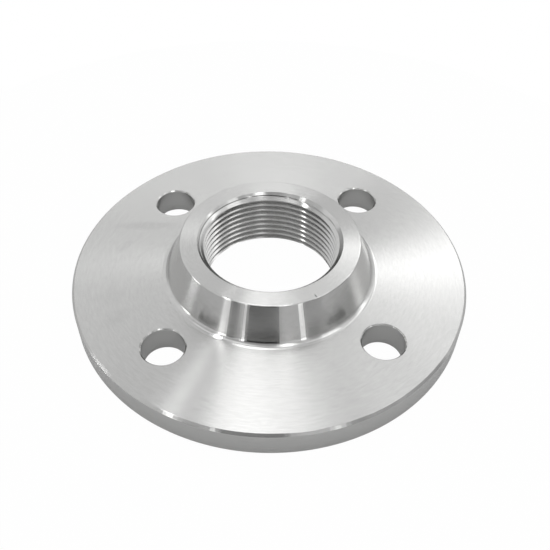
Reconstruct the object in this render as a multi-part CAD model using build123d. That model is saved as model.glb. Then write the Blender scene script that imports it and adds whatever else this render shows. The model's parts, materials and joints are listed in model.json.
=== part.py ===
"""Threaded pipe flange for 1 1/2 inch (DN 40) pipe, turned in one piece from stainless steel.

A round plate carries four bolt holes, and a short hub tapers up from its middle. A pipe
thread runs through both. The part stands on the plate's flat underside, which is the
gasket face: the origin is at its centre, and +Z runs up the thread's axis.
All lengths are in millimetres.
"""
import os

from build123d import *

# Pipe thread, BSP 1 1/2: the bore is the plain wall at the thread's crests
thread_major_d = 47.8
thread_depth = 1.475
mouth_clearance = 0.6    # how far each entry chamfer opens past the thread's major diameter

# Hub, from the bore outwards
hub_top_land = 6.0       # flat ring between the thread's mouth and the hub's edge
hub_taper_run = 5.0      # how far the hub's side leans out between its top and its foot
hub_rise = 12.9          # height of the hub above the plate
hub_top_bevel = 0.4
neck_fillet = 2.4        # radius where the hub's side runs out into the plate

# Plate, from the hub outwards
plate_t = 9.6
bolt_room = 13.5         # from the hub's foot to the bolt circle, which clears a nut
bolt_hole_d = 14.0       # for M12 bolts
bolt_hole_count = 4
bolt_hole_deburr = 0.4
edge_land = 11.5         # metal between a bolt hole and the rim
rim_chamfer = 1.0        # on the rim's upper edge
rim_break = 0.3          # on the rim's lower edge

# What follows from them
thread_major_r = thread_major_d / 2
bore_r = thread_major_r - thread_depth
mouth_r = thread_major_r + mouth_clearance
mouth_chamfer = mouth_r - bore_r
hub_top_r = mouth_r + hub_top_land
hub_foot_r = hub_top_r + hub_taper_run
bolt_circle_r = hub_foot_r + bolt_room
bolt_hole_r = bolt_hole_d / 2
plate_r = bolt_circle_r + bolt_hole_r + edge_land
overall_h = plate_t + hub_rise
first_hole_angle = 180 / bolt_hole_count    # the holes straddle the X and Y axes


def turned_section():
    """Half section of the blank as it comes off the lathe, with radius as X and height as Y."""
    outline = Polyline(
        (mouth_r, 0),
        (plate_r - rim_break, 0),
        (plate_r, rim_break),
        (plate_r, plate_t - rim_chamfer),
        (plate_r - rim_chamfer, plate_t),
        (hub_foot_r, plate_t),
        (hub_top_r, overall_h - hub_top_bevel),
        (hub_top_r - hub_top_bevel, overall_h),
        (mouth_r, overall_h),
        (bore_r, overall_h - mouth_chamfer),
        (bore_r, mouth_chamfer),
        close=True,
    )
    section = make_face(outline)
    neck = section.vertices().sort_by_distance((hub_foot_r, plate_t))[0]
    return fillet(neck, neck_fillet)


def turned_blank():
    """The section swept round the thread's axis."""
    return revolve(Plane.XZ * turned_section(), axis=Axis.Z)


def is_bolt_hole_rim(edge):
    """Whether an edge is a circle round the axis of a bolt hole."""
    if edge.geom_type != GeomType.CIRCLE:
        return False
    centre = edge.arc_center
    return abs(Vector(centre.X, centre.Y).length - bolt_circle_r) < bolt_hole_deburr


def drilled(blank):
    """The blank with its ring of bolt holes, each deburred on both faces of the plate."""
    drill = Cylinder(bolt_hole_r, plate_t, align=(Align.CENTER, Align.CENTER, Align.MIN))
    holes = PolarLocations(bolt_circle_r, bolt_hole_count, start_angle=first_hole_angle)
    body = blank - holes * drill
    rims = body.edges().filter_by(is_bolt_hole_rim)
    return chamfer(rims, bolt_hole_deburr)


threaded_flange = drilled(turned_blank())
threaded_flange.label = "threaded_flange"

os.makedirs("parts", exist_ok=True)
export_step(threaded_flange, "parts/threaded_flange.step")
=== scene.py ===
"""Looks of the threaded flange: turned stainless steel on a pale floor in soft studio light.

Geometry Nodes sweep the flange from its half section, with the pipe thread as a true helix, and
drill its plate. All lengths are in metres, worked out from sizes in millimetres.
"""
import json
import math

import bpy
from mathutils import Matrix, Vector


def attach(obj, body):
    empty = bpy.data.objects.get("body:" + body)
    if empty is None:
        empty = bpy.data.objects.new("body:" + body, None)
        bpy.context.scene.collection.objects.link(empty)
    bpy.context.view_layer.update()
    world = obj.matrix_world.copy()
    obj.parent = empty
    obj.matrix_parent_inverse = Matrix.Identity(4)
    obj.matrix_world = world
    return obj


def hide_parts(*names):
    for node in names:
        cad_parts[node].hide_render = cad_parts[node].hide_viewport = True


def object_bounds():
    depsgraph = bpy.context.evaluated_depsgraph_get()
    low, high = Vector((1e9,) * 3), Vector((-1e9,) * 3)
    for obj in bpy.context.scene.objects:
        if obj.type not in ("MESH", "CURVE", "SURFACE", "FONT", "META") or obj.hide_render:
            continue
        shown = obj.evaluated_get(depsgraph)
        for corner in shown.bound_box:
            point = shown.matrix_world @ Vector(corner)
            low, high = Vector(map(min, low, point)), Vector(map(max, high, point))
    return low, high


MM = 0.001

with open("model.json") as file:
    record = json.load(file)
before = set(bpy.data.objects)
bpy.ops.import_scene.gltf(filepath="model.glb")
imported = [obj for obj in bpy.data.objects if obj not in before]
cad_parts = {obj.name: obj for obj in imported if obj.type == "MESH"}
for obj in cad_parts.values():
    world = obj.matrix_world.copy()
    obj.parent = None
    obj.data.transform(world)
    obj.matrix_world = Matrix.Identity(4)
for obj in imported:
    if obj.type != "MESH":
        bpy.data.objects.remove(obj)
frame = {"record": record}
cad_low, cad_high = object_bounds()

# Sizes that the frame and its record give
mounts = {mount["name"]: mount for mount in frame["record"]["mounts"]}
thread_dims = mounts["pipe_thread"]["dims"]
bolt_dims = mounts["bolt_holes"]["dims"]
overall_h = cad_high.z - cad_low.z
plate_r = (cad_high.x - cad_low.x) / 2
plate_t = mounts["bolting_face"]["pos_m"][2]
bore_r = thread_dims["r_mm"] * MM
mouth_chamfer = (overall_h - thread_dims["length_mm"] * MM) / 2
mouth_r = bore_r + mouth_chamfer
bolt_circle_r = bolt_dims["pcd_mm"] / 2 * MM
bolt_hole_r = bolt_dims["hole_r_mm"] * MM
bolt_hole_count = bolt_dims["count"]
first_hole_angle = math.pi / bolt_hole_count    # the holes straddle the X and Y axes

# Sizes of the turned section that no mount gives
hub_top_r = 30.5 * MM
hub_foot_r = 35.5 * MM
hub_top_bevel = 0.4 * MM
neck_fillet = 2.4 * MM
rim_chamfer = 0.8 * MM      # as narrow as the photograph shows it, a little less than the solid's
rim_break = 0.3 * MM
rim_edge_ease = 0.2 * MM    # how the tool rounds both edges of the rim's chamfer
hub_edge_ease = 0.5 * MM    # the round that the hub's top bevel is worn to
bolt_hole_deburr = 0.4 * MM
bolt_rim_r = bolt_hole_r + bolt_hole_deburr

# Pipe thread: 11 to the inch, 55 degree flanks, rounded roots and crests cut flat at the bore
thread_pitch = 25.4 / 11 * MM
thread_major_r = 23.9 * MM
thread_root_round = 0.1373 * thread_pitch
thread_flank = math.radians(27.5)
thread_phase = 1.07 * MM    # height of a crest's middle where the +X axis meets the bore

# How finely the rounds are cut into faces
turn_segments = 256
hole_segments = 64
fillet_steps = 14
bevel_steps = 5
root_steps = 8
flank_steps = 4
straight_hold = 0.01    # share of a straight side that its end rows take, to keep its shading straight
weld_distance = 0.002 * MM
sharp_angle = math.radians(20)

# Bare steel, its patches where the cut is a little rougher, and what hands leave on it
steel_colour = "#D2D2D1"
dull_colour = "#CCCCCB"
grime_colour = "#5A5A58"
faced_roughness = 0.25
turned_roughness = 0.14
drilled_roughness = 0.25
deburred_roughness = 0.15

# Tool marks: how wide they are across the tool's path, how long along it, and how deep. The real rings
# are too fine to show in the render, so the grain and the chatter are drawn as coarse as they need to
feed_width = 0.25 * MM
feed_length = 60 * MM
feed_depth = 0.002 * MM
grain_width = 0.5 * MM
grain_length = 1.8 * MM
grain_dull = 0.3        # noise at which the grain is wholly dull
grain_bright = 0.7      # and wholly bright
chatter_width = 0.7 * MM
face_chatter_depth = 0.001 * MM
turned_chatter_depth = 0.005 * MM
drill_width = 0.5 * MM
drill_depth = 0.001 * MM
facet_width = 1.0 * MM
facet_depth = 0.1 * MM

# Marks of handling on the upper faces: x and y of the middle, reach and breadth in mm, turn in degrees,
# and how far the steel there goes to the grime's colour
handling_marks = {
    "thumb smear": (-44, 21.8, 12, 2.5, 0, 0.08),
    "finger mark": (-51, 11.5, 4, 2, 50, 0.06),
    "palm mark": (-50.5, -22.5, 5, 3, 45, 0.05),
    "palm heel": (-53, -13, 5, 4, 0, 0.03),
    "pit": (-33.1, -16.4, 0.4, 0.4, 0, 0.7),
    "nick": (13.1, -26.4, 0.9, 0.25, -63, 0.6),
}
mark_outside = 1.3      # where a mark has faded out, as a share of its reach and breadth
mark_inside = 0.3       # and where it is at its full depth

# Camera, as fitted to the photograph: it looks down on the flange from close by
image_px = 550
focal_px = 697.34
sensor_mm = 36.0
camera_elevation = math.radians(46.7465)
camera_azimuth = math.radians(-2.69)    # how far round from -Y the camera stands
camera_distance = 3.6987 * plate_r
camera_roll = math.radians(-0.82)
camera_yaw = math.radians(0.4234)
camera_pitch = math.radians(-0.7824)

# Floor: its size and colour, and the share of plain white that the camera and the metal see of it
floor_r = 0.18
floor_colour = "#CCCCCC"
floor_white = 0.985
floor_white_in_metal = 0.05

# Studio. The tent's level at each height, in degrees
tent_glow = {-20: 0.4, 0: 0.6, 20: 0.85, 45: 0.85, 90: 0.35}

# Its soft boxes, by where the flange sees them: azimuth and elevation of the middle, turn, half width,
# half height and softness of the edge, all in degrees, and the level that each adds
boxes = {
    "overhead": (93, 68, -21, 5, 16, 1.5, 1.65),
    "back right": (66, 42, 37, 9, 2, 5, 3.2),
    "right": (21, 40, 58, 34, 1.5, 8, 1.45),
    "right front": (-6, 64, -34, 13, 2.5, 9, 1.05),
    "front right": (-69, 59, -14, 2.5, 18, 7, 3.45),
    "left tube": (-159, 59, -62, 11, 20, 6, 0.6),
    "left low": (-137, 6, 0, 4, 11, 1, 2.05),
    "front low": (-117, 13, 6, 1, 12, 1.5, 4.8),
    "right low": (-60, 9, -1, 2.2, 15, 1, 1.6),
    "left wall": (-179, -2, -63, 3.5, 6, 1.5, 8.2),
    "front fill": (-115, 69, 29, 12, 7, 10, 0.65),
    "overhead tube": (182, 66, -29, 23, 1, 0.5, 4.5),
    "overhead left": (108, 83, 90, 3, 13, 4, 1.65),
    "left column": (-148, 41, 23, 1, 34, 1.5, 2.5),
    "right column": (-19, 50, -39, 6, 23, 1.5, 0.65),
    "right wall": (34, 40, -4, 12, 7, 4, 0.35),
}

# Its dark flags and gaps, placed the same way. The last value is the share of the tent's light that
# each takes away
flags = {
    "camera": (-100, 11, 6, 17, 18, 0.5, 1),
    "camera above": (-120, 49, -18, 45, 29, 14, 0.45),
    "back right low": (72, 24, -30, 12, 6, 1.5, 0.75),
    "right horizon": (-9, 1, -71, 28, 18, 6, 0.45),
    "left gap": (-132, 2, 15, 8, 10, 2, 1),
    "right gap": (-44, 14, -13, 12, 33, 4, 0.5),
    "back low": (118, 1, 26, 31, 6, 5, 0.45),
}
box_horizon = 0.02      # directions nearly square to a box, or behind it, don't see it

# Which finish a face of the section has
FACED, TURNED, THREADED, DRILLED, DEBURRED = range(5)


def add_node(tree, kind, links=None, **settings):
    """Adds a node. links maps an input to the output or the value that feeds it."""
    made = tree.nodes.new(kind)
    for name, value in settings.items():
        setattr(made, name, value)
    for socket, source in (links or {}).items():
        if isinstance(source, bpy.types.NodeSocket):
            tree.links.new(source, made.inputs[socket])
        else:
            made.inputs[socket].default_value = source
    return made


def linear(hex_colour):
    """An sRGB hex colour as the linear RGBA that a shader takes."""
    shares = [int(hex_colour[i:i + 2], 16) / 255 for i in (1, 3, 5)]
    lit = [c / 12.92 if c <= 0.04045 else ((c + 0.055) / 1.055) ** 2.4 for c in shares]
    return (*lit, 1.0)


def mix(a, b, share):
    """The point a share of the way from a to b."""
    return tuple(p + (q - p) * share for p, q in zip(a, b))


def arc(centre, radius, start, end, steps):
    """Points (radius, height) on an arc of the section, from one angle to another."""
    turns = [start + (end - start) * i / steps for i in range(steps + 1)]
    return [(centre[0] + radius * math.cos(a), centre[1] + radius * math.sin(a)) for a in turns]


def eased(corner, radius, first_normal, last_normal):
    """Points that round off an outer corner of the section, between the normals of its two sides."""
    middle = (first_normal + last_normal) / 2
    reach = radius / math.cos((last_normal - first_normal) / 2)
    centre = (corner[0] - reach * math.cos(middle), corner[1] - reach * math.sin(middle))
    return arc(centre, radius, first_normal, last_normal, bevel_steps)


def rim_run():
    """The plate's rim, upwards, with its chamfer's edges eased."""
    foot = (plate_r, rim_break)
    chamfer_foot = eased((plate_r, plate_t - rim_chamfer), rim_edge_ease, 0, math.pi / 4)
    chamfer_top = eased((plate_r - rim_chamfer, plate_t), rim_edge_ease, math.pi / 4, math.pi / 2)
    hold = mix(foot, chamfer_foot[0], 1 - straight_hold)
    return [(plate_r - rim_break, 0), foot, hold] + chamfer_foot + chamfer_top


def hub_run():
    """The hub's side from the plate to its top edge: root fillet, taper and rounded edge."""
    lean = math.atan2(hub_foot_r - hub_top_r, overall_h - hub_top_bevel - plate_t)
    reach = neck_fillet * math.tan((math.pi / 2 - lean) / 2)
    fillet_centre = (hub_foot_r + reach, plate_t + neck_fillet)
    fillet = arc(fillet_centre, neck_fillet, -math.pi / 2, lean - math.pi, fillet_steps)
    corner = (hub_top_r - hub_top_bevel * math.tan(lean), overall_h)
    edge = eased(corner, hub_edge_ease, lean, math.pi / 2)
    taper = [mix(fillet[-1], edge[0], share) for share in (straight_hold, 1 - straight_hold)]
    return fillet + taper + edge


def thread_profile():
    """One pitch of the thread as (height above a crest's middle, radius), upwards from 0 to 1 pitch."""
    root_mid = thread_pitch / 2
    root_centre_r = thread_major_r - thread_root_round
    tangent = math.pi / 2 - thread_flank
    root = []
    for i in range(root_steps + 1):
        turn = tangent * (2 * i / root_steps - 1)
        height = root_mid + thread_root_round * math.sin(turn)
        root.append((height, root_centre_r + thread_root_round * math.cos(turn)))
    low_root, high_root = root[0], root[-1]
    rise = (low_root[1] - bore_r) * math.tan(thread_flank)
    low_crest = (low_root[0] - rise, bore_r)
    high_crest = (high_root[0] + rise, bore_r)
    low_flank = [mix(low_crest, low_root, i / flank_steps) for i in range(flank_steps)]
    high_flank = [mix(high_root, high_crest, i / flank_steps) for i in range(1, flank_steps + 1)]
    return low_flank + root + high_flank


def thread_run():
    """The thread's rows at the start of the helix, downwards, from the mouth to a pitch below the face."""
    rows = []
    first = math.floor((-thread_pitch - thread_phase) / thread_pitch) - 1
    last = math.ceil((overall_h - thread_phase) / thread_pitch) + 1
    for turn in range(first, last):
        base = thread_phase + turn * thread_pitch
        rows += [(radius, base + height) for height, radius in thread_profile()]
    return rows[::-1]


def hole_runs():
    """A bolt hole round its own axis, downwards: its upper deburred edge, its wall and its lower edge."""
    top_edge = [(bolt_rim_r, plate_t), (bolt_hole_r, plate_t - bolt_hole_deburr)]
    foot_edge = [(bolt_hole_r, bolt_hole_deburr), (bolt_rim_r, 0)]
    return top_edge, [top_edge[-1], foot_edge[0]], foot_edge


def section_mesh(name, runs):
    """Loose points of a section. Each run is its points and finish, and whether they follow the helix."""
    points = [point for run in runs for point in run["points"]]
    mesh = bpy.data.meshes.new(name)
    mesh.from_pydata([(radius, 0, height) for radius, height in points], [], [])
    finish = [run["finish"] for run in runs for _ in run["points"]]
    helix = [float(run["helix"]) for run in runs for _ in run["points"]]
    last = [i == len(run["points"]) - 1 for run in runs for i in range(len(run["points"]))]
    mesh.attributes.new("finish", "INT", "POINT").data.foreach_set("value", finish)
    mesh.attributes.new("helix", "FLOAT", "POINT").data.foreach_set("value", helix)
    mesh.attributes.new("last_of_run", "BOOLEAN", "POINT").data.foreach_set("value", last)
    return mesh


def new_tree(name, inputs):
    """A node group with typed inputs and one geometry output, and its two end nodes."""
    tree = bpy.data.node_groups.new(name, "GeometryNodeTree")
    for label, kind in inputs:
        tree.interface.new_socket(label, in_out="INPUT", socket_type=kind)
    tree.interface.new_socket("Mesh", in_out="OUTPUT", socket_type="NodeSocketGeometry")
    return tree, add_node(tree, "NodeGroupInput").outputs, add_node(tree, "NodeGroupOutput")


def turning_tree():
    """Sweeps a section's points round the Z axis. Those on the helix climb one pitch in a turn."""
    tree, given, out = new_tree("Turn a section", [
        ("Section", "NodeSocketGeometry"),
        ("Segments", "NodeSocketInt"),
        ("Pitch", "NodeSocketFloat"),
        ("Height", "NodeSocketFloat"),
        ("Mouth radius", "NodeSocketFloat"),
    ])
    section = given["Section"]

    # A grid with a row for each point of the section and a column for each step of the turn
    rows = add_node(tree, "GeometryNodeAttributeDomainSize", {0: section}).outputs["Point Count"]
    columns = add_node(tree, "ShaderNodeMath", {0: given["Segments"], 1: 1.0}).outputs[0]
    grid = add_node(tree, "GeometryNodeMeshGrid",
                    {"Vertices X": columns, "Vertices Y": rows}).outputs["Mesh"]
    index = add_node(tree, "GeometryNodeInputIndex").outputs[0]
    row = add_node(tree, "ShaderNodeMath", {0: index, 1: rows}, operation="MODULO").outputs[0]
    quotient = add_node(tree, "ShaderNodeMath", {0: index, 1: rows}, operation="DIVIDE").outputs[0]
    column = add_node(tree, "ShaderNodeMath", {0: quotient}, operation="FLOOR").outputs[0]
    turn = add_node(tree, "ShaderNodeMath", {0: column, 1: given["Segments"]},
                    operation="DIVIDE").outputs[0]
    place = add_node(tree, "GeometryNodeInputPosition").outputs[0]
    point = add_node(tree, "GeometryNodeSampleIndex", {"Geometry": section, "Value": place, "Index": row},
                     data_type="FLOAT_VECTOR").outputs[0]
    helix = add_node(tree, "GeometryNodeInputNamedAttribute", {"Name": "helix"},
                     data_type="FLOAT").outputs[0]
    on_helix = add_node(tree, "GeometryNodeSampleIndex",
                        {"Geometry": section, "Value": helix, "Index": row}, data_type="FLOAT").outputs[0]
    split = add_node(tree, "ShaderNodeSeparateXYZ", {0: point}).outputs

    # The climb stops at both faces
    climb = add_node(tree, "ShaderNodeMath", {0: turn, 1: given["Pitch"]}, operation="MULTIPLY").outputs[0]
    climb = add_node(tree, "ShaderNodeMath", {0: climb, 1: on_helix}, operation="MULTIPLY").outputs[0]
    height = add_node(tree, "ShaderNodeMath", {0: split["Z"], 1: climb}).outputs[0]
    height = add_node(tree, "ShaderNodeClamp",
                      {"Value": height, "Min": 0.0, "Max": given["Height"]}).outputs[0]

    # The entry chamfers run in at 45 degrees from both faces and cut the thread off
    from_top = add_node(tree, "ShaderNodeMath", {0: given["Height"], 1: height},
                        operation="SUBTRACT").outputs[0]
    from_end = add_node(tree, "ShaderNodeMath", {0: height, 1: from_top}, operation="MINIMUM").outputs[0]
    entry = add_node(tree, "ShaderNodeMath", {0: given["Mouth radius"], 1: from_end},
                     operation="SUBTRACT").outputs[0]
    entry = add_node(tree, "ShaderNodeMath", {0: entry, 1: on_helix}, operation="MULTIPLY").outputs[0]
    radius = add_node(tree, "ShaderNodeMath", {0: split["X"], 1: entry}, operation="MAXIMUM").outputs[0]
    placed = add_node(tree, "ShaderNodeCombineXYZ", {"X": radius, "Z": height}).outputs[0]
    angle = add_node(tree, "ShaderNodeMath", {0: turn, 1: math.tau}, operation="MULTIPLY").outputs[0]
    turned = add_node(tree, "ShaderNodeVectorRotate", {"Vector": placed, "Angle": angle},
                      rotation_type="Z_AXIS").outputs[0]
    swept = add_node(tree, "GeometryNodeSetPosition", {"Geometry": grid, "Position": turned}).outputs[0]

    # Each face takes its row's finish, and those that would join one run to the next go
    face_rows = add_node(tree, "ShaderNodeMath", {0: rows, 1: 1.0}, operation="SUBTRACT").outputs[0]
    face_row = add_node(tree, "ShaderNodeMath", {0: index, 1: face_rows}, operation="MODULO").outputs[0]
    finish = add_node(tree, "GeometryNodeInputNamedAttribute", {"Name": "finish"},
                      data_type="INT").outputs[0]
    face_finish = add_node(tree, "GeometryNodeSampleIndex",
                           {"Geometry": section, "Value": finish, "Index": face_row},
                           data_type="INT").outputs[0]
    last = add_node(tree, "GeometryNodeInputNamedAttribute", {"Name": "last_of_run"},
                    data_type="BOOLEAN").outputs[0]
    between_runs = add_node(tree, "GeometryNodeSampleIndex",
                            {"Geometry": section, "Value": last, "Index": face_row},
                            data_type="BOOLEAN").outputs[0]
    marked = add_node(tree, "GeometryNodeStoreNamedAttribute",
                      {"Geometry": swept, "Name": "finish", "Value": face_finish},
                      data_type="INT", domain="FACE").outputs[0]
    kept = add_node(tree, "GeometryNodeDeleteGeometry", {"Geometry": marked, "Selection": between_runs},
                    domain="FACE").outputs[0]
    tree.links.new(kept, out.inputs[0])
    return tree


def drilled_face_tree():
    """A flat ring at a height, with the bolt holes' rims cut out of it."""
    tree, given, out = new_tree("Drilled face", [
        ("Hole rims", "NodeSocketGeometry"),
        ("Segments", "NodeSocketInt"),
        ("Outer radius", "NodeSocketFloat"),
        ("Inner radius", "NodeSocketFloat"),
        ("Height", "NodeSocketFloat"),
    ])
    edges = add_node(tree, "GeometryNodeJoinGeometry")
    for label in ("Outer radius", "Inner radius"):
        ring = add_node(tree, "GeometryNodeCurvePrimitiveCircle",
                        {"Resolution": given["Segments"], "Radius": given[label]})
        tree.links.new(ring.outputs["Curve"], edges.inputs[0])
    tree.links.new(given["Hole rims"], edges.inputs[0])
    filled = add_node(tree, "GeometryNodeFillCurve", {"Curve": edges.outputs[0]},
                      mode="TRIANGLES").outputs[0]
    lift = add_node(tree, "ShaderNodeCombineXYZ", {"Z": given["Height"]}).outputs[0]
    lifted = add_node(tree, "GeometryNodeSetPosition", {"Geometry": filled, "Offset": lift}).outputs[0]
    marked = add_node(tree, "GeometryNodeStoreNamedAttribute",
                      {"Geometry": lifted, "Name": "finish", "Value": FACED},
                      data_type="INT", domain="FACE").outputs[0]
    tree.links.new(marked, out.inputs[0])
    return tree


def flange_tree(materials):
    """The whole flange: turned runs, drilled faces and bolt holes, welded into one closed mesh."""
    tree, given, out = new_tree("Threaded flange", [
        ("Section", "NodeSocketGeometry"),
        ("Segments", "NodeSocketInt"),
        ("Hole segments", "NodeSocketInt"),
        ("Bolt holes", "NodeSocketInt"),
        ("Pitch", "NodeSocketFloat"),
        ("Height", "NodeSocketFloat"),
        ("Mouth radius", "NodeSocketFloat"),
        ("Bolt circle radius", "NodeSocketFloat"),
        ("First hole angle", "NodeSocketFloat"),
        ("Hole rim radius", "NodeSocketFloat"),
        ("Upper face height", "NodeSocketFloat"),
        ("Upper face outer radius", "NodeSocketFloat"),
        ("Upper face inner radius", "NodeSocketFloat"),
        ("Underside outer radius", "NodeSocketFloat"),
        ("Weld distance", "NodeSocketFloat"),
        ("Sharp angle", "NodeSocketFloat"),
    ])
    turning, drilling = turning_tree(), drilled_face_tree()

    # The body turns round the flange's axis, and a bolt hole's wall round its own
    finish = add_node(tree, "GeometryNodeInputNamedAttribute", {"Name": "finish"},
                      data_type="INT").outputs[0]
    is_hole = add_node(tree, "FunctionNodeCompare", {2: finish, 3: DRILLED},
                       data_type="INT", operation="GREATER_EQUAL").outputs[0]
    parted = add_node(tree, "GeometryNodeSeparateGeometry",
                      {"Geometry": given["Section"], "Selection": is_hole})
    body = add_node(tree, "GeometryNodeGroup", node_tree=turning)
    wall = add_node(tree, "GeometryNodeGroup", node_tree=turning)
    for group, section, segments in (
        (body, parted.outputs["Inverted"], given["Segments"]),
        (wall, parted.outputs["Selection"], given["Hole segments"]),
    ):
        tree.links.new(section, group.inputs["Section"])
        tree.links.new(segments, group.inputs["Segments"])
        for label in ("Pitch", "Height", "Mouth radius"):
            tree.links.new(given[label], group.inputs[label])

    # Bolt circle, with a rim for the faces and a wall at each of its points
    circle = add_node(tree, "GeometryNodeCurvePrimitiveCircle",
                      {"Resolution": given["Bolt holes"], "Radius": given["Bolt circle radius"]})
    start = add_node(tree, "ShaderNodeCombineXYZ", {"Z": given["First hole angle"]}).outputs[0]
    start = add_node(tree, "FunctionNodeEulerToRotation", {0: start}).outputs[0]
    centres = add_node(tree, "GeometryNodeTransform",
                       {"Geometry": circle.outputs["Curve"], "Rotation": start}).outputs[0]
    rim = add_node(tree, "GeometryNodeCurvePrimitiveCircle",
                   {"Resolution": given["Hole segments"], "Radius": given["Hole rim radius"]})
    rims = add_node(tree, "GeometryNodeInstanceOnPoints",
                    {"Points": centres, "Instance": rim.outputs["Curve"]}).outputs[0]
    rims = add_node(tree, "GeometryNodeRealizeInstances", {"Geometry": rims}).outputs[0]
    walls = add_node(tree, "GeometryNodeInstanceOnPoints", {"Points": centres, "Instance": wall.outputs[0]})

    upper = add_node(tree, "GeometryNodeGroup", node_tree=drilling)
    under = add_node(tree, "GeometryNodeGroup", node_tree=drilling)
    for group, outer, inner in (
        (upper, "Upper face outer radius", "Upper face inner radius"),
        (under, "Underside outer radius", "Mouth radius"),
    ):
        tree.links.new(rims, group.inputs["Hole rims"])
        tree.links.new(given["Segments"], group.inputs["Segments"])
        tree.links.new(given[outer], group.inputs["Outer radius"])
        tree.links.new(given[inner], group.inputs["Inner radius"])
    tree.links.new(given["Upper face height"], upper.inputs["Height"])
    under = add_node(tree, "GeometryNodeFlipFaces", {0: under.outputs[0]})

    joined = add_node(tree, "GeometryNodeJoinGeometry")
    for part in (body, walls, upper, under):
        tree.links.new(part.outputs[0], joined.inputs[0])
    made = add_node(tree, "GeometryNodeRealizeInstances", {"Geometry": joined.outputs[0]}).outputs[0]
    made = add_node(tree, "GeometryNodeMergeByDistance",
                    {"Geometry": made, "Distance": given["Weld distance"]}).outputs[0]

    # Rounds shade smooth between sharp edges, and the flat faces stay flat
    bend = add_node(tree, "GeometryNodeInputMeshEdgeAngle").outputs["Unsigned Angle"]
    is_smooth = add_node(tree, "FunctionNodeCompare", {0: bend, 1: given["Sharp angle"]},
                         operation="LESS_THAN").outputs[0]
    made = add_node(tree, "GeometryNodeSetShadeSmooth", {"Geometry": made, "Shade Smooth": is_smooth},
                    domain="EDGE").outputs[0]
    is_faced = add_node(tree, "FunctionNodeCompare", {2: finish, 3: FACED},
                        data_type="INT", operation="EQUAL").outputs[0]
    made = add_node(tree, "GeometryNodeSetShadeSmooth",
                    {"Geometry": made, "Selection": is_faced, "Shade Smooth": False}).outputs[0]
    for number, material in enumerate(materials):
        chosen = add_node(tree, "FunctionNodeCompare", {2: finish, 3: number},
                          data_type="INT", operation="EQUAL").outputs[0]
        made = add_node(tree, "GeometryNodeSetMaterial",
                        {"Geometry": made, "Selection": chosen, "Material": material}).outputs[0]
    tree.links.new(made, out.inputs[0])
    return tree


def set_inputs(modifier, values):
    """Sets a modifier's inputs by their names, through the sockets' identifiers."""
    sockets = {item.name: item.identifier for item in modifier.node_group.interface.items_tree
               if item.in_out == "INPUT"}
    for name, value in values.items():
        modifier[sockets[name]] = value


def tool_marks(tree, radial, axial, width, length):
    """Noise from 0 to 1 in arcs round the flange's axis, which have the given length at the hub's foot.

    radial and axial say how far the tool moves outwards and upwards from one arc to the next.
    """
    place = add_node(tree, "ShaderNodeTexCoord").outputs["Object"]
    split = add_node(tree, "ShaderNodeSeparateXYZ", {0: place}).outputs
    across = add_node(tree, "ShaderNodeCombineXYZ", {"X": split["X"], "Y": split["Y"]}).outputs[0]
    radius = add_node(tree, "ShaderNodeVectorMath", {0: across}, operation="LENGTH").outputs["Value"]
    outward = add_node(tree, "ShaderNodeVectorMath", {0: across}, operation="NORMALIZE").outputs[0]
    around = add_node(tree, "ShaderNodeVectorMath", {0: outward, "Scale": hub_foot_r / length},
                      operation="SCALE").outputs[0]
    out = add_node(tree, "ShaderNodeMath", {0: radius, 1: radial / width}, operation="MULTIPLY").outputs[0]
    course = add_node(tree, "ShaderNodeMath", {0: split["Z"], 1: axial / width, 2: out},
                      operation="MULTIPLY_ADD").outputs[0]
    along = add_node(tree, "ShaderNodeCombineXYZ", {"Z": course}).outputs[0]
    spot = add_node(tree, "ShaderNodeVectorMath", {0: around, 1: along}).outputs[0]
    return add_node(tree, "ShaderNodeTexNoise", {"Vector": spot, "Scale": 1.0, "Detail": 2.0}).outputs[0]


def handling(tree):
    """How dark the marks that handling left on the upper faces are, from 0 where the steel is clean."""
    place = add_node(tree, "ShaderNodeTexCoord").outputs["Object"]
    height = add_node(tree, "ShaderNodeSeparateXYZ", {0: place}).outputs["Z"]
    dark = 0.0
    for name, (x, y, reach, breadth, turn, depth) in handling_marks.items():
        middle = (x * MM, y * MM, 0)
        shrink = (1 / (reach * MM), 1 / (breadth * MM), 0)
        off = add_node(tree, "ShaderNodeVectorMath", {0: place, 1: middle}, operation="SUBTRACT",
                       label=name).outputs[0]
        off = add_node(tree, "ShaderNodeVectorRotate", {"Vector": off, "Angle": math.radians(-turn)},
                       rotation_type="Z_AXIS").outputs[0]
        off = add_node(tree, "ShaderNodeVectorMath", {0: off, 1: shrink}, operation="MULTIPLY").outputs[0]
        off = add_node(tree, "ShaderNodeVectorMath", {0: off}, operation="LENGTH").outputs["Value"]
        here = add_node(tree, "ShaderNodeMapRange",
                        {"Value": off, "From Min": mark_outside, "From Max": mark_inside, "To Max": depth},
                        interpolation_type="SMOOTHSTEP").outputs[0]
        dark = add_node(tree, "ShaderNodeMath", {0: here, 1: dark}).outputs[0]
    upper = add_node(tree, "ShaderNodeMath", {0: height, 1: plate_t / 2},
                     operation="GREATER_THAN").outputs[0]
    return add_node(tree, "ShaderNodeMath", {0: dark, 1: upper}, operation="MULTIPLY").outputs[0]


def bare_steel(name, roughness, anisotropy):
    """Bare steel. Fine rings round the flange's axis stretch its highlights as far as anisotropy says."""
    material = bpy.data.materials.new(name)
    material.use_nodes = True
    tree = material.node_tree
    shader = tree.nodes["Principled BSDF"]
    shader.inputs["Base Color"].default_value = linear(steel_colour)
    shader.inputs["Metallic"].default_value = 1.0
    shader.inputs["Roughness"].default_value = roughness
    shader.inputs["Anisotropic"].default_value = anisotropy
    shader.inputs["Anisotropic Rotation"].default_value = 0.25
    round_axis = add_node(tree, "ShaderNodeTangent", direction_type="RADIAL", axis="Z").outputs[0]
    tree.links.new(round_axis, shader.inputs["Tangent"])
    return material, tree, shader


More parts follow.
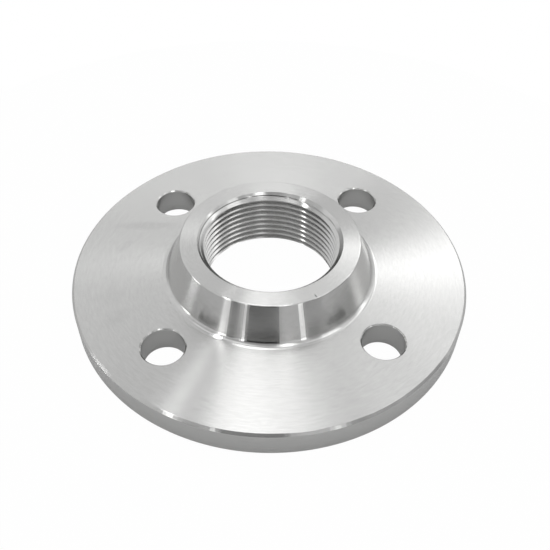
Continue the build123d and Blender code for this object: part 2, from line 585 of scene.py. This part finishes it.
def lathe_steel(name, roughness, radial, axial, chatter_depth, handled=False):
    """Steel off the lathe. Its rings draw the lights out, and chatter and grain break up its sheen."""
    material, tree, shader = bare_steel(name, roughness, 1.0)
    feed = tool_marks(tree, radial, axial, feed_width, feed_length)
    feed = add_node(tree, "ShaderNodeBump", {"Height": feed, "Distance": feed_depth}).outputs[0]
    chatter = tool_marks(tree, 0.0, 0.0, feed_width, chatter_width)
    normal = add_node(tree, "ShaderNodeBump",
                      {"Height": chatter, "Distance": chatter_depth, "Normal": feed}).outputs[0]
    tree.links.new(normal, shader.inputs["Normal"])
    grain = tool_marks(tree, radial, axial, grain_width, grain_length)
    grain = add_node(tree, "ShaderNodeMapRange",
                     {"Value": grain, "From Min": grain_dull, "From Max": grain_bright}).outputs[0]
    colour = add_node(tree, "ShaderNodeMix",
                      {"Factor": grain, 6: linear(dull_colour), 7: linear(steel_colour)},
                      data_type="RGBA").outputs[2]
    if handled:
        colour = add_node(tree, "ShaderNodeMix",
                          {"Factor": handling(tree), 6: colour, 7: linear(grime_colour)},
                          data_type="RGBA").outputs[2]
    tree.links.new(colour, shader.inputs["Base Color"])
    return material


def drilled_steel():
    """The wall of a bolt hole. The drill leaves it duller than the turned sides, with faint rings."""
    material, tree, shader = bare_steel("drilled stainless steel", drilled_roughness, 0.0)
    place = add_node(tree, "ShaderNodeTexCoord").outputs["Object"]
    height = add_node(tree, "ShaderNodeSeparateXYZ", {0: place}).outputs["Z"]
    rings = add_node(tree, "ShaderNodeTexNoise", {"W": height, "Scale": 1 / drill_width, "Detail": 2.0},
                     noise_dimensions="1D").outputs[0]
    normal = add_node(tree, "ShaderNodeBump", {"Height": rings, "Distance": drill_depth}).outputs[0]
    tree.links.new(normal, shader.inputs["Normal"])
    return material


def deburred_steel():
    """The broken edge of a bolt hole. It is cut by hand in small facets, so it glints in dashes."""
    material, tree, shader = bare_steel("deburred stainless steel", deburred_roughness, 0.0)
    place = add_node(tree, "ShaderNodeTexCoord").outputs["Object"]
    facets = add_node(tree, "ShaderNodeTexNoise",
                      {"Vector": place, "Scale": 1 / facet_width, "Detail": 1.0}).outputs[0]
    normal = add_node(tree, "ShaderNodeBump", {"Height": facets, "Distance": facet_depth}).outputs[0]
    tree.links.new(normal, shader.inputs["Normal"])
    return material


def flange_finishes():
    """The steel's finishes, in the order of FACED to DEBURRED."""
    return [
        # Cut across by the tool: satin, with fans of light that meet at the axis
        lathe_steel("faced stainless steel", faced_roughness, radial=1.0, axial=0.0,
                    chatter_depth=face_chatter_depth, handled=True),
        # Cut along the sides: bright, with the studio's lights as upright bands
        lathe_steel("turned stainless steel", turned_roughness, radial=1.0, axial=1.0,
                    chatter_depth=turned_chatter_depth),
        # Cut by the thread's tool: as bright, so each flank carries its own line of light
        lathe_steel("thread-cut stainless steel", turned_roughness, radial=1.0, axial=0.6,
                    chatter_depth=face_chatter_depth),
        drilled_steel(),
        deburred_steel(),
    ]


def build_flange():
    """The flange as one mesh in place of the CAD node, whose bore is plain."""
    rim = rim_run()
    hub = hub_run()
    top_edge, wall, foot_edge = hole_runs()
    section = section_mesh("flange_section", [
        {"points": rim, "finish": TURNED, "helix": False},
        {"points": hub, "finish": TURNED, "helix": False},
        {"points": [hub[-1], (mouth_r, overall_h)], "finish": FACED, "helix": False},
        {"points": thread_run(), "finish": THREADED, "helix": True},
        {"points": top_edge, "finish": DEBURRED, "helix": False},
        {"points": wall, "finish": DRILLED, "helix": False},
        {"points": foot_edge, "finish": DEBURRED, "helix": False},
    ])
    source = bpy.data.objects.new("flange_source", section)
    bpy.context.scene.collection.objects.link(source)
    modifier = source.modifiers.new("Threaded flange", "NODES")
    modifier.node_group = flange_tree(flange_finishes())
    set_inputs(modifier, {
        "Segments": turn_segments,
        "Hole segments": hole_segments,
        "Bolt holes": bolt_hole_count,
        "Pitch": thread_pitch,
        "Height": overall_h,
        "Mouth radius": mouth_r,
        "Bolt circle radius": bolt_circle_r,
        "First hole angle": first_hole_angle,
        "Hole rim radius": bolt_rim_r,
        "Upper face height": plate_t,
        "Upper face outer radius": rim[-1][0],
        "Upper face inner radius": hub[0][0],
        "Underside outer radius": plate_r - rim_break,
        "Weld distance": weld_distance,
        "Sharp angle": sharp_angle,
    })
    evaluated = source.evaluated_get(bpy.context.evaluated_depsgraph_get())
    mesh = bpy.data.meshes.new_from_object(evaluated)
    bpy.data.objects.remove(source)
    flange = bpy.data.objects.new("turned_flange", mesh)
    bpy.context.scene.collection.objects.link(flange)
    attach(flange, "root")
    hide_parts("threaded_flange")


def place_camera():
    """The camera in its place, aimed a little off the flange's axis as the photograph was."""
    back = Vector((0, -math.cos(camera_elevation), math.sin(camera_elevation)))
    right = Vector((1, 0, 0))
    up = back.cross(right)
    level = Matrix((right, up, back))
    turned = (Matrix.Rotation(camera_roll, 3, "Z") @ Matrix.Rotation(camera_pitch, 3, "X")
              @ Matrix.Rotation(camera_yaw, 3, "Y") @ level)
    spin = Matrix.Rotation(camera_azimuth, 3, "Z")
    place = Matrix.Translation(spin @ (back * camera_distance))
    data = bpy.data.cameras.new("camera")
    data.sensor_width = sensor_mm
    data.lens = focal_px / image_px * sensor_mm
    data.clip_start = 0.01
    data.clip_end = 20
    camera = bpy.data.objects.new("camera", data)
    bpy.context.scene.collection.objects.link(camera)
    camera.matrix_world = place @ (spin @ turned.transposed()).to_4x4()
    bpy.context.scene.camera = camera


def lay_floor():
    """A round sheet of matt white paper under the flange. It reads as white, with a trace of the shadow."""
    turns = [math.tau * i / turn_segments for i in range(turn_segments)]
    rim = [(floor_r * math.cos(a), floor_r * math.sin(a), 0) for a in turns]
    mesh = bpy.data.meshes.new("floor")
    mesh.from_pydata(rim, [], [range(turn_segments)])
    floor = bpy.data.objects.new("floor", mesh)
    bpy.context.scene.collection.objects.link(floor)
    paper = bpy.data.materials.new("matt white paper")
    paper.use_nodes = True
    tree = paper.node_tree
    sheet = tree.nodes["Principled BSDF"]
    sheet.inputs["Base Color"].default_value = linear(floor_colour)
    sheet.inputs["Roughness"].default_value = 1.0
    sheet.inputs["Specular IOR Level"].default_value = 0.0
    ray = add_node(tree, "ShaderNodeLightPath").outputs
    seen = add_node(tree, "ShaderNodeMath", {0: ray["Is Camera Ray"], 1: floor_white},
                    operation="MULTIPLY").outputs[0]
    seen = add_node(tree, "ShaderNodeMath", {0: ray["Is Glossy Ray"], 1: floor_white_in_metal, 2: seen},
                    operation="MULTIPLY_ADD").outputs[0]
    white = add_node(tree, "ShaderNodeEmission", {"Color": (1, 1, 1, 1), "Strength": 1.0}).outputs[0]
    surface = add_node(tree, "ShaderNodeMixShader", {0: seen, 1: sheet.outputs[0], 2: white}).outputs[0]
    tree.links.new(surface, tree.nodes["Material Output"].inputs["Surface"])
    mesh.materials.append(paper)


def soft_box(tree, way, azimuth, elevation, turn, half_width, half_height, edge):
    """How much of a rectangle on the studio's wall or roof a direction sees, from 0 outside to 1 inside."""
    aim = tuple(math.radians(angle) for angle in (turn, -elevation, azimuth))
    seen = add_node(tree, "ShaderNodeVectorRotate", {"Vector": way, "Rotation": aim},
                    rotation_type="EULER_XYZ", invert=True).outputs[0]
    split = add_node(tree, "ShaderNodeSeparateXYZ", {0: seen}).outputs
    ahead = add_node(tree, "ShaderNodeMath", {0: split["X"], 1: box_horizon},
                     operation="MAXIMUM").outputs[0]
    cover = add_node(tree, "ShaderNodeMath", {0: split["X"], 1: box_horizon},
                     operation="GREATER_THAN").outputs[0]
    fade = math.tan(math.radians(edge))
    for side, half in (("Y", half_width), ("Z", half_height)):
        limit = math.tan(math.radians(half))
        off = add_node(tree, "ShaderNodeMath", {0: split[side], 1: ahead}, operation="DIVIDE").outputs[0]
        off = add_node(tree, "ShaderNodeMath", {0: off}, operation="ABSOLUTE").outputs[0]
        inside = add_node(tree, "ShaderNodeMapRange",
                          {"Value": off, "From Min": limit + fade, "From Max": limit - fade},
                          interpolation_type="SMOOTHSTEP").outputs[0]
        cover = add_node(tree, "ShaderNodeMath", {0: cover, 1: inside}, operation="MULTIPLY").outputs[0]
    return cover


def light_studio():
    """The world: a pale tent with soft boxes and dark flags, which the camera sees as plain white."""
    world = bpy.data.worlds.new("studio")
    bpy.context.scene.world = world
    world.use_nodes = True
    tree = world.node_tree
    way = add_node(tree, "ShaderNodeTexCoord").outputs["Generated"]
    rise = add_node(tree, "ShaderNodeSeparateXYZ", {0: way}).outputs["Z"]
    elevation = add_node(tree, "ShaderNodeMath", {0: rise}, operation="ARCSINE").outputs[0]
    elevation = add_node(tree, "ShaderNodeMath", {0: elevation}, operation="DEGREES").outputs[0]
    share = add_node(tree, "ShaderNodeMapRange",
                     {"Value": elevation, "From Min": -90.0, "From Max": 90.0}).outputs[0]
    glow = add_node(tree, "ShaderNodeValToRGB", {0: share})
    stops = glow.color_ramp.elements
    while len(stops) < len(tent_glow):
        stops.new(0.5)
    for stop, height in zip(stops, tent_glow):
        stop.position = (height + 90) / 180
    for stop, level in zip(stops, tent_glow.values()):
        stop.color = (level, level, level, 1)
    light = glow.outputs["Color"]
    for name, (*place, depth) in flags.items():
        cover = soft_box(tree, way, *place)
        left = add_node(tree, "ShaderNodeMath", {0: cover, 1: -depth, 2: 1.0},
                        operation="MULTIPLY_ADD").outputs[0]
        light = add_node(tree, "ShaderNodeMath", {0: light, 1: left}, operation="MULTIPLY",
                         label=name).outputs[0]
    for name, (*place, level) in boxes.items():
        cover = soft_box(tree, way, *place)
        light = add_node(tree, "ShaderNodeMath", {0: cover, 1: level, 2: light}, operation="MULTIPLY_ADD",
                         label=name).outputs[0]
    seen = add_node(tree, "ShaderNodeLightPath").outputs["Is Camera Ray"]
    light = add_node(tree, "ShaderNodeMix", {"Factor": seen, "A": light, "B": 1.0},
                     data_type="FLOAT").outputs[0]
    tree.links.new(light, tree.nodes["Background"].inputs["Color"])


build_flange()
place_camera()
lay_floor()
light_studio()

bpy.context.scene.view_settings.view_transform = "Standard"
